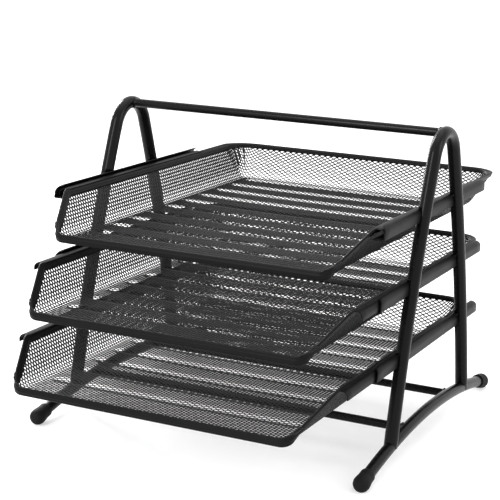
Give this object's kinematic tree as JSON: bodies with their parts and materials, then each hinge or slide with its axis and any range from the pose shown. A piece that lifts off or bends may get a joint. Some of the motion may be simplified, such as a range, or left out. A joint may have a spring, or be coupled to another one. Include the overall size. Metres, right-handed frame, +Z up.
{
  "type": "letter tray",
  "caption": "Desk letter tray: flared mesh trays slide on side rails in a bent tube frame with a carry bar and rubber-capped feet.",
  "frame": {"origin": "on the desk, at the middle of the footprint at rest", "axes": "+Z up, +X to the user's right, trays pull out towards -Y"},
  "size_m": [0.314, 0.4282, 0.2679],
  "materials": {
    "frame_paint": "satin black powder coat",
    "mesh_paint": "satin black powder coat on expanded mesh",
    "rubber": "smooth moulded black rubber"
  },
  "bodies": {
    "frame": {"left_a_frame": "frame_paint", "right_a_frame": "frame_paint", "left_base_bow": "frame_paint", "right_base_bow": "frame_paint", "handle_bar": "frame_paint", "front_cross_bar": "frame_paint", "rear_cross_bar": "frame_paint", "front_left_cap": "rubber", "front_right_cap": "rubber", "rear_left_cap": "rubber", "rear_right_cap": "rubber", "top_left_rail": "frame_paint", "top_right_rail": "frame_paint", "middle_left_rail": "frame_paint", "middle_right_rail": "frame_paint", "bottom_left_rail": "frame_paint", "bottom_right_rail": "frame_paint"},
    "top_tray": {"top_tray_basket": "mesh_paint", "top_tray_rim": "frame_paint", "top_tray_left_runner": "frame_paint", "top_tray_right_runner": "frame_paint"},
    "middle_tray": {"middle_tray_basket": "mesh_paint", "middle_tray_rim": "frame_paint", "middle_tray_left_runner": "frame_paint", "middle_tray_right_runner": "frame_paint"},
    "bottom_tray": {"bottom_tray_basket": "mesh_paint", "bottom_tray_rim": "frame_paint", "bottom_tray_left_runner": "frame_paint", "bottom_tray_right_runner": "frame_paint"}
  },
  "joints": [
    {"name": "top_tray_slide", "type": "slide", "parent": "frame", "child": "top_tray", "axis": [0, -1, 0], "range_m": [0, 0.19]},
    {"name": "middle_tray_slide", "type": "slide", "parent": "frame", "child": "middle_tray", "axis": [0, -1, 0], "range_m": [-0.038, 0.152]},
    {"name": "bottom_tray_slide", "type": "slide", "parent": "frame", "child": "bottom_tray", "axis": [0, -1, 0], "range_m": [-0.06, 0.13]}
  ]
}
